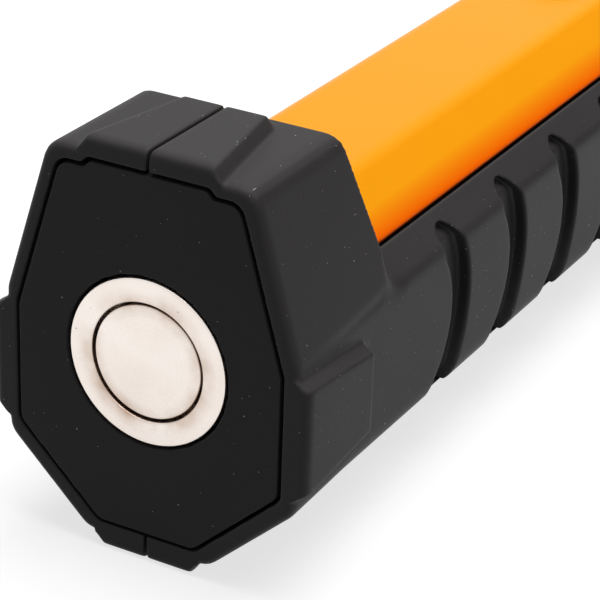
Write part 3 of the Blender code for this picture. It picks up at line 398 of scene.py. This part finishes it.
def screw_tree():
    """A node tree that stands a cross-recess screw on each point of a mesh."""
    head_taper = 0.92  # the head's face against its underside
    recess_reach = 1.1  # the recess's span against the head's radius
    core_share = 0.86  # the shank under its thread against the shank's radius
    ridge_share = 0.13  # the thread's ridge against the same
    thread_share = 0.97  # how much of the shank is threaded
    tree = bpy.data.node_groups.new("cross_recess_screws", "GeometryNodeTree")
    tree.interface.new_socket("Places", in_out="INPUT", socket_type="NodeSocketGeometry")
    for name in ("Head Radius", "Head Height", "Shank Radius", "Shank Length", "Thread Pitch",
                 "Recess Width", "Recess Depth"):
        tree.interface.new_socket(name, in_out="INPUT", socket_type="NodeSocketFloat")
    tree.interface.new_socket("Facing", in_out="INPUT", socket_type="NodeSocketVector")
    tree.interface.new_socket("Finish", in_out="INPUT", socket_type="NodeSocketMaterial")
    tree.interface.new_socket("Screws", in_out="OUTPUT", socket_type="NodeSocketGeometry")
    given = add(tree, "NodeGroupInput").outputs

    def times(value, factor):
        """A size multiplied by a plain number."""
        return add(tree, "ShaderNodeMath", {0: value, 1: factor}, operation="MULTIPLY").outputs[0]

    def vector(x=0.0, y=0.0, z=0.0):
        """A vector from three sizes."""
        return add(tree, "ShaderNodeCombineXYZ", {"X": x, "Y": y, "Z": z}).outputs["Vector"]

    head = add(tree, "GeometryNodeMeshCone", {
        "Vertices": 40, "Radius Bottom": times(given["Head Radius"], head_taper),
        "Radius Top": given["Head Radius"], "Depth": given["Head Height"]})
    reach = times(given["Head Radius"], recess_reach)
    deep = times(given["Recess Depth"], 2.0)
    across = add(tree, "GeometryNodeMeshCube", {"Size": vector(reach, given["Recess Width"], deep)})
    along = add(tree, "GeometryNodeMeshCube", {"Size": vector(given["Recess Width"], reach, deep)})
    recessed = add(tree, "GeometryNodeMeshBoolean", {"Mesh 1": head.outputs["Mesh"]}, operation="DIFFERENCE")
    tree.links.new(across.outputs["Mesh"], recessed.inputs["Mesh 2"])
    tree.links.new(along.outputs["Mesh"], recessed.inputs["Mesh 2"])
    shank = add(tree, "GeometryNodeMeshCylinder", {
        "Vertices": 28, "Radius": times(given["Shank Radius"], core_share), "Depth": given["Shank Length"]})
    half_shank = times(given["Shank Length"], 0.5)
    lifted = add(tree, "GeometryNodeTransform", {
        "Geometry": shank.outputs["Mesh"], "Translation": vector(z=half_shank)})
    turns = add(tree, "ShaderNodeMath", {0: given["Shank Length"], 1: given["Thread Pitch"]},
                operation="DIVIDE")
    coil = add(tree, "GeometryNodeCurveSpiral", {
        "Resolution": 24, "Rotations": turns.outputs[0],
        "Start Radius": times(given["Shank Radius"], core_share),
        "End Radius": times(given["Shank Radius"], core_share),
        "Height": times(given["Shank Length"], thread_share)})
    ridge = add(tree, "GeometryNodeCurvePrimitiveCircle", {
        "Resolution": 6, "Radius": times(given["Shank Radius"], ridge_share)})
    thread = add(tree, "GeometryNodeCurveToMesh", {
        "Curve": coil.outputs["Curve"], "Profile Curve": ridge.outputs["Curve"], "Fill Caps": True})
    core = add(tree, "GeometryNodeJoinGeometry")
    tree.links.new(lifted.outputs["Geometry"], core.inputs["Geometry"])
    tree.links.new(thread.outputs["Mesh"], core.inputs["Geometry"])
    under = add(tree, "GeometryNodeTransform", {
        "Geometry": core.outputs["Geometry"], "Translation": vector(z=given["Head Height"])})
    screw = add(tree, "GeometryNodeJoinGeometry")
    tree.links.new(recessed.outputs["Mesh"], screw.inputs["Geometry"])
    tree.links.new(under.outputs["Geometry"], screw.inputs["Geometry"])
    aim = add(tree, "FunctionNodeAlignRotationToVector", {"Vector": given["Facing"]}, axis="Z")
    stood = add(tree, "GeometryNodeInstanceOnPoints", {
        "Points": given["Places"], "Instance": screw.outputs["Geometry"],
        "Rotation": aim.outputs["Rotation"]})
    real = add(tree, "GeometryNodeRealizeInstances", {"Geometry": stood.outputs["Instances"]})
    coated = add(tree, "GeometryNodeSetMaterial", {"Geometry": real.outputs["Geometry"],
                                                   "Material": given["Finish"]})
    add(tree, "NodeGroupOutput", {"Screws": coated.outputs["Geometry"]})
    return tree


def screws(name, tree, places, facing, sizes, steel):
    """Screws with their heads' faces at these places, as one plain mesh."""
    mesh = bpy.data.meshes.new(name)
    mesh.from_pydata(places, [], [])
    piece = new_piece(name, mesh)
    grower = piece.modifiers.new("screws", "NODES")
    grower.node_group = tree
    given = dict(sizes, Facing=facing, Finish=steel)
    for socket in tree.interface.items_tree:
        if socket.name in given:
            grower[socket.identifier] = given[socket.name]
    piece.data = plain_mesh(piece)
    return piece


steel = blackened_steel()
screw_nodes = screw_tree()
head_height = 1.6 * MM
screw_sizes = {"Head Height": head_height, "Thread Pitch": 0.9 * MM, "Recess Width": 0.75 * MM,
               "Recess Depth": 0.9 * MM, "Shank Radius": 1.25 * MM}
side_boxes = [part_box(f"housing_screw_{number}") for number in (1, 2, 3)]
side_span = side_boxes[0][1] - side_boxes[0][0]
side_sizes = {"Head Radius": side_span.z / 2, "Shank Length": side_span.x - head_height}
side_screws = screws("housing_screws", screw_nodes,
                     [(low.x, (low.y + high.y) / 2, (low.z + high.z) / 2) for low, high in side_boxes],
                     (1.0, 0.0, 0.0), dict(screw_sizes, **side_sizes), steel)
settle(side_screws, "body", "screw_steel", steel, "housing_screw_1", "housing_screw_2", "housing_screw_3")
door_boxes = [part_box(f"door_screw_{place}") for place in ("rear", "front")]
door_span = door_boxes[0][1] - door_boxes[0][0]
door_sizes = {"Head Radius": door_span.x / 2, "Shank Length": door_span.z - head_height}
door_screws = screws("door_screws", screw_nodes,
                     [((low.x + high.x) / 2, (low.y + high.y) / 2, low.z) for low, high in door_boxes],
                     (0.0, 0.0, 1.0), dict(screw_sizes, **door_sizes), steel)
settle(door_screws, "battery_door", "screw_steel", steel, "door_screw_rear", "door_screw_front")


# Battery door: a trough of black ABS over the cells, held by its two screws, with a rubber seal round it.
# Ribs across its keel give a grip for lifting it off.

def moulded_plastic(name, low, high, roughness, size):
    """Injection-moulded plastic: one colour with a faint cloud in it, and a fine moulded grain."""
    uneven = 0.05  # how far the roughness strays
    made, tree, shader, place = finish(name, IOR=1.5, Specular_IOR_Level=0.3)
    cloud = cloudy(tree, place, size=6)
    tree.links.new(mixed(tree, cloud, linear(low), linear(high)), shader.inputs["Base Color"])
    tree.links.new(spread(tree, cloud, 0, 1, roughness - uneven, roughness + uneven),
                   shader.inputs["Roughness"])
    grain(tree, shader, place, size, height=0.004)
    return made


black_abs = moulded_plastic("black_abs", low="#1e1d1d", high="#262424", roughness=0.45, size=0.2)
seal_rubber = dusty_rubber("seal_rubber", low="#3a3938", high="#434140", roughness=0.7, dust="#8b8784")
door = softened("battery_door", voxel=0.2, rounds=4)
thinned(door, limit=120000)
settle(door, "battery_door", "black_plastic", black_abs, "battery_door")


def rib_tree():
    """A node tree that lays a row of round-ended ribs along Y."""
    tree = bpy.data.node_groups.new("grip_ribs", "GeometryNodeTree")
    for name in ("Rib Length", "Rib Radius", "Pitch"):
        tree.interface.new_socket(name, in_out="INPUT", socket_type="NodeSocketFloat")
    tree.interface.new_socket("Count", in_out="INPUT", socket_type="NodeSocketInt")
    tree.interface.new_socket("Start", in_out="INPUT", socket_type="NodeSocketVector")
    tree.interface.new_socket("Finish", in_out="INPUT", socket_type="NodeSocketMaterial")
    tree.interface.new_socket("Ribs", in_out="OUTPUT", socket_type="NodeSocketGeometry")
    given = add(tree, "NodeGroupInput").outputs
    step = add(tree, "ShaderNodeCombineXYZ", {"Y": given["Pitch"]})
    row = add(tree, "GeometryNodeMeshLine", {"Count": given["Count"], "Start Location": given["Start"],
                                             "Offset": step.outputs["Vector"]})
    ball = add(tree, "GeometryNodeMeshUVSphere", {"Segments": 24, "Rings": 12,
                                                  "Radius": given["Rib Radius"]})
    stretch = add(tree, "ShaderNodeMath", {0: given["Rib Length"], 1: given["Rib Radius"]},
                  operation="DIVIDE")
    half = add(tree, "ShaderNodeMath", {0: stretch.outputs[0], 1: 0.5}, operation="MULTIPLY")
    scale = add(tree, "ShaderNodeCombineXYZ", {"X": half.outputs[0], "Y": 1.0, "Z": 1.0})
    rib = add(tree, "GeometryNodeTransform", {"Geometry": ball.outputs["Mesh"],
                                              "Scale": scale.outputs["Vector"]})
    laid = add(tree, "GeometryNodeInstanceOnPoints", {"Points": row.outputs["Mesh"],
                                                      "Instance": rib.outputs["Geometry"]})
    real = add(tree, "GeometryNodeRealizeInstances", {"Geometry": laid.outputs["Instances"]})
    coated = add(tree, "GeometryNodeSetMaterial", {"Geometry": real.outputs["Geometry"],
                                                   "Material": given["Finish"]})
    add(tree, "NodeGroupOutput", {"Ribs": coated.outputs["Geometry"]})
    return tree


def ribs(name, tree, start, count, pitch, length, radius, material):
    """A row of ribs as one plain mesh, its middles from start on along Y."""
    piece = new_piece(name, bpy.data.meshes.new(name))
    grower = piece.modifiers.new("ribs", "NODES")
    grower.node_group = tree
    given = {"Start": start, "Count": count, "Pitch": pitch, "Rib Length": length, "Rib Radius": radius,
             "Finish": material}
    for socket in tree.interface.items_tree:
        if socket.name in given:
            grower[socket.identifier] = given[socket.name]
    piece.data = plain_mesh(piece)
    piece.data.shade_smooth()
    return piece


def coat(material, *nodes):
    """Gives solids that stay as they are their finish."""
    for node in nodes:
        frame["nodes"][node].material_slots[0].material = material


rib_nodes = rib_tree()
door_low, door_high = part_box("battery_door")
door_rib_count, door_rib_pitch = 7, 3 * MM
first_rib = (door_low.y + door_high.y) / 2 - (door_rib_count - 1) / 2 * door_rib_pitch
door_ribs = ribs("door_ribs", rib_nodes, (0.0, first_rib, door_low.z), door_rib_count, door_rib_pitch,
                 length=9 * MM, radius=0.55 * MM, material=black_abs)
settle(door_ribs, "battery_door", "black_plastic", black_abs)
coat(seal_rubber, "door_seal")


# Cells, their tray and contacts: two AAA cells in plain film under a moulded tray.
# Plated contact plates stand at their ends; the film stops short of the bare steel ends.

def filmed_cell(name, node):
    """Plain two-tone film shrunk over a steel can: a smooth sheen, and bare metal at both ends."""
    bare_end = 1.6 * MM
    band_start = 8 * MM  # past the middle, where the paler band begins
    made, tree, shader, place = finish(name, IOR=1.5)
    low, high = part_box(node)
    middle = (low.y + high.y) / 2
    spot = add(tree, "ShaderNodeSeparateXYZ", {"Vector": place})
    off = add(tree, "ShaderNodeMath", {0: spot.outputs["Y"], 1: middle}, operation="SUBTRACT")
    away = add(tree, "ShaderNodeMath", {0: off.outputs[0]}, operation="ABSOLUTE")
    half = (high.y - low.y) / 2
    bare = add(tree, "ShaderNodeMath", {0: away.outputs[0], 1: half - bare_end}, operation="GREATER_THAN")
    band = add(tree, "ShaderNodeMath", {0: spot.outputs["Y"], 1: middle + band_start},
               operation="GREATER_THAN")
    film = mixed(tree, band.outputs[0], linear("#4b5560"), linear("#8f979d"))
    tree.links.new(mixed(tree, bare.outputs[0], film, linear("#c9c6c0")), shader.inputs["Base Color"])
    tree.links.new(bare.outputs[0], shader.inputs["Metallic"])
    tree.links.new(spread(tree, cloudy(tree, place, size=4), 0, 1, 0.22, 0.34), shader.inputs["Roughness"])
    return made


def plated_sheet(name, low, high):
    """Rolled sheet metal with a thin plating and faint rolling marks."""
    made, tree, shader, place = finish(name, Metallic=1.0)
    mark_width = 0.15
    drawn = add(tree, "ShaderNodeMapping", {"Vector": place, "Scale": (1.0, 1.0, 0.08)}).outputs["Vector"]
    marks = add(tree, "ShaderNodeTexNoise", {"Vector": drawn, "Scale": per(mark_width),
                                             "Detail": 2.0}).outputs["Fac"]
    tree.links.new(mixed(tree, cloudy(tree, place, size=2), linear(low), linear(high)),
                   shader.inputs["Base Color"])
    tree.links.new(spread(tree, marks, 0, 1, 0.22, 0.42), shader.inputs["Roughness"])
    return made


for side in ("left", "right"):
    coat(filmed_cell(f"cell_film_{side}", f"battery_{side}"), f"battery_{side}")
contact_plating = plated_sheet("contact_plating", low="#d2cfc8", high="#dedbd5")
coat(contact_plating, "rear_contact", "front_contact_left", "front_contact_right")
inner_abs = moulded_plastic("inner_abs", low="#3a3a3c", high="#434345", roughness=0.5, size=0.25)
coat(inner_abs, "battery_tray", "power_plunger", "torch_plunger")


# Circuit board with its buzzer and switches: glass laminate under green solder mask.
# It lies over the tray, and its front end reaches through the nose to the sensing tip.

def solder_mask():
    """Laminate under a cured green lacquer: a low gloss, with the copper tracks paler through it."""
    made, tree, shader, place = finish("solder_mask_laminate", Roughness=0.35, IOR=1.5)
    tracks = add(tree, "ShaderNodeTexBrick", {
        "Vector": place, "Scale": 1.0, "Brick Width": 3.2 * MM, "Row Height": 1.1 * MM,
        "Mortar Size": 0.12 * MM, "Color1": linear("#1d5c33"), "Color2": linear("#205f36"),
        "Mortar": linear("#2b7a47")})
    tree.links.new(tracks.outputs["Color"], shader.inputs["Base Color"])
    grain(tree, shader, place, size=0.4, height=0.004)
    return made


coat(solder_mask(), "circuit_board")
part_black = moulded_plastic("part_black", low="#232222", high="#2b2a2a", roughness=0.4, size=0.2)
coat(part_black, "buzzer", "power_switch", "torch_switch")


# Buttons: moulded silicone caps in the spine, with raised ribs to feel for in the dark.
# Their flanges lie under the spine, so that they can't come out.

button_silicone = dusty_rubber("button_silicone", low="#343232", high="#3b3939", roughness=0.55,
                               dust="#9a9692")
cap_rib_pitch = 1.6 * MM
for name, count in (("power", 4), ("torch", 2)):
    cap = softened(f"{name}_button", voxel=0.12, rounds=5)
    thinned(cap, limit=90000)
    settle(cap, f"{name}_button", "button_rubber", button_silicone, f"{name}_button")
    cap_low, cap_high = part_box(f"{name}_button")
    first_rib = (cap_low.y + cap_high.y) / 2 - (count - 1) / 2 * cap_rib_pitch
    cap_ribs = ribs(f"{name}_button_ribs", rib_nodes, (0.0, first_rib, cap_high.z), count, cap_rib_pitch,
                    length=4.2 * MM, radius=0.35 * MM, material=button_silicone)
    settle(cap_ribs, f"{name}_button", "button_rubber", button_silicone)


# Nose: a moulded shell of black ABS that narrows from the grip to the sensing tip.
# It plugs into the front of the housing, over a flat rubber seal.

nose = softened("nose_shell", voxel=0.2, rounds=5)
thinned(nose, limit=150000)
settle(nose, "body", "black_plastic", black_abs, "nose_shell")
coat(seal_rubber, "nose_seal")


# Sensing tip: a hollow white ABS blade round the copper antenna, with the indicator behind it.
# A frosted collar at its root carries the indicator's light round the tip.

def frosted_clear():
    """Clear plastic with a frosted surface: milky, and it spreads the light behind it."""
    made, tree, shader, place = finish("frosted_clear", Transmission_Weight=0.75, IOR=1.49)
    frost = cloudy(tree, place, size=0.5)
    tree.links.new(mixed(tree, frost, linear("#e6e8e6"), linear("#f2f3f1")), shader.inputs["Base Color"])
    tree.links.new(spread(tree, frost, 0, 1, 0.4, 0.55), shader.inputs["Roughness"])
    grain(tree, shader, place, size=0.2, height=0.006)
    return made


def cast_resin(name, tint):
    """Cast epoxy resin: tinted, hazy and smooth."""
    made, tree, shader, place = finish(name, Transmission_Weight=0.6, IOR=1.52)
    haze = cloudy(tree, place, size=0.9)
    tree.links.new(mixed(tree, haze, linear(tint), linear("#f6f4ee")), shader.inputs["Base Color"])
    tree.links.new(spread(tree, haze, 0, 1, 0.12, 0.25), shader.inputs["Roughness"])
    return made


tip_abs = moulded_plastic("tip_white_abs", low="#e4e0d6", high="#ebe8df", roughness=0.35, size=0.4)
tip = softened("probe_tip", voxel=0.15, rounds=4)
thinned(tip, limit=120000)
settle(tip, "body", "tip_plastic", tip_abs, "probe_tip")
collar = softened("light_collar", voxel=0.12, rounds=4)
thinned(collar, limit=90000)
settle(collar, "body", "clear_plastic", frosted_clear(), "light_collar")
coat(plated_sheet("antenna_copper", low="#c8754a", high="#d68a5e"), "antenna")
coat(cast_resin("indicator_resin", tint="#e8543c"), "indicator_led")


# Torch: a moulded clear lens set in the nose's front wall, below the sensing tip.
# Behind it are a vacuum-plated reflector and the light source, cast in yellowish resin.

def clear_lens():
    """Polished clear acrylic: bright reflections, with a trace of haze."""
    made, tree, shader, place = finish("clear_lens", Transmission_Weight=1.0, IOR=1.49)
    shader.inputs["Base Color"].default_value = linear("#f7f9fa")
    tree.links.new(spread(tree, cloudy(tree, place, size=2), 0, 1, 0.02, 0.06), shader.inputs["Roughness"])
    return made


def vacuum_plating():
    """Aluminium plated on moulded plastic in a vacuum: nearly a mirror, a little hazy."""
    made, tree, shader, place = finish("vacuum_plating", Metallic=1.0)
    haze = cloudy(tree, place, size=1.2)
    tree.links.new(mixed(tree, haze, linear("#e9e9e8"), linear("#f1f1f0")), shader.inputs["Base Color"])
    tree.links.new(spread(tree, haze, 0, 1, 0.06, 0.14), shader.inputs["Roughness"])
    return made


coat(clear_lens(), "torch_lens")
coat(vacuum_plating(), "torch_reflector")
coat(cast_resin("torch_resin", tint="#f0d98a"), "torch_led")


# Stage: a white floor that keeps a faint shadow, a large soft light above and a weaker one to the right.
# The floor and the sky are dimmer for diffuse light, so that the dark front stays dark as photographed.
# A black felt card on the right, out of the camera's sight, gives the flanks something dark to mirror.

def seen(tree):
    """1 for rays that show the stage itself, straight, mirrored or through clear plastic; else 0."""
    path = add(tree, "ShaderNodeLightPath").outputs
    first = add(tree, "ShaderNodeMath", {0: path["Is Camera Ray"], 1: path["Is Glossy Ray"]},
                operation="MAXIMUM")
    return add(tree, "ShaderNodeMath", {0: first.outputs[0], 1: path["Is Transmission Ray"]},
               operation="MAXIMUM").outputs[0]


floor_mesh = bpy.data.meshes.new("floor")
floor_form = bmesh.new()
bmesh.ops.create_grid(floor_form, x_segments=1, y_segments=1, size=4.0)
floor_form.to_mesh(floor_mesh)
floor_form.free()
floor = new_piece("floor", floor_mesh)
floor.location.z = cad_box[0].z
paper, paper_tree, paper_shader = finish("white_paper", Roughness=0.9, Specular_IOR_Level=0.0)[:3]
paper_seen = seen(paper_tree)
paper_tree.links.new(mixed(paper_tree, paper_seen, linear("#898989"), linear("#aaaaaa")),
                     paper_shader.inputs["Base Color"])
paper_shader.inputs["Emission Color"].default_value = linear("#ffffff")
paper_glow = 0.72  # brings the floor up to white where it is seen
paper_tree.links.new(spread(paper_tree, paper_seen, 0, 1, 0.0, paper_glow),
                     paper_shader.inputs["Emission Strength"])
floor_mesh.materials.append(paper)

flag_mesh = bpy.data.meshes.new("dark_flag")
near, far, foot, top = (1.1, 0.1), (0.1, 1.1), -0.02, 0.55
flag_mesh.from_pydata([(*near, foot), (*far, foot), (*far, top), (*near, top)], [], [(0, 1, 2, 3)])
flag = new_piece("dark_flag", flag_mesh)
flag.visible_camera = False
felt, felt_shader = finish("black_felt", Roughness=0.9, Specular_IOR_Level=0.0)[::2]
felt_shader.inputs["Base Color"].default_value = linear("#262626")
flag_mesh.materials.append(felt)

world = bpy.data.worlds.new("studio")
world.use_nodes = True
sky = world.node_tree.nodes["Background"]
sky.inputs["Color"].default_value = linear("#ffffff")
sky_light = 0.18
world.node_tree.links.new(spread(world.node_tree, seen(world.node_tree), 0, 1, sky_light, 1.0),
                          sky.inputs["Strength"])
bpy.context.scene.world = world


def soft_light(name, place, aim, size, power):
    """A square lamp turned to shine on a point."""
    lamp = new_piece(name, bpy.data.lights.new(name, "AREA"))
    lamp.data.shape = "SQUARE"
    lamp.data.size = size
    lamp.data.energy = power
    lamp.location = place
    lamp.rotation_euler = (Vector(place) - Vector(aim)).to_track_quat("Z", "Y").to_euler()


grip_middle = (0, 0.05, 0)
soft_light("top_light", (0.06, 0.2, 0.8), grip_middle, size=0.8, power=8.2)
soft_light("right_light", (0.7, 0.15, 0.3), grip_middle, size=0.5, power=0.4)

# The camera stands where the photograph was taken from, as worked out from the outline of the base.
camera = new_piece("camera", bpy.data.cameras.new("camera"))
camera_right = Vector((0.87040, 0.49124, 0.03283))
camera_up = Vector((-0.24235, 0.36946, 0.89709))
camera_back = Vector((0.42856, -0.78878, 0.44063))
camera.matrix_world = Matrix((camera_right, camera_up, camera_back)).transposed().to_4x4()
camera.location = (0.095187, -0.149332, 0.092987)
camera.data.sensor_width = 36.0
camera.data.lens = 146.99
camera.data.clip_start = 0.01
bpy.context.scene.camera = camera
bpy.context.scene.view_settings.view_transform = "Standard"
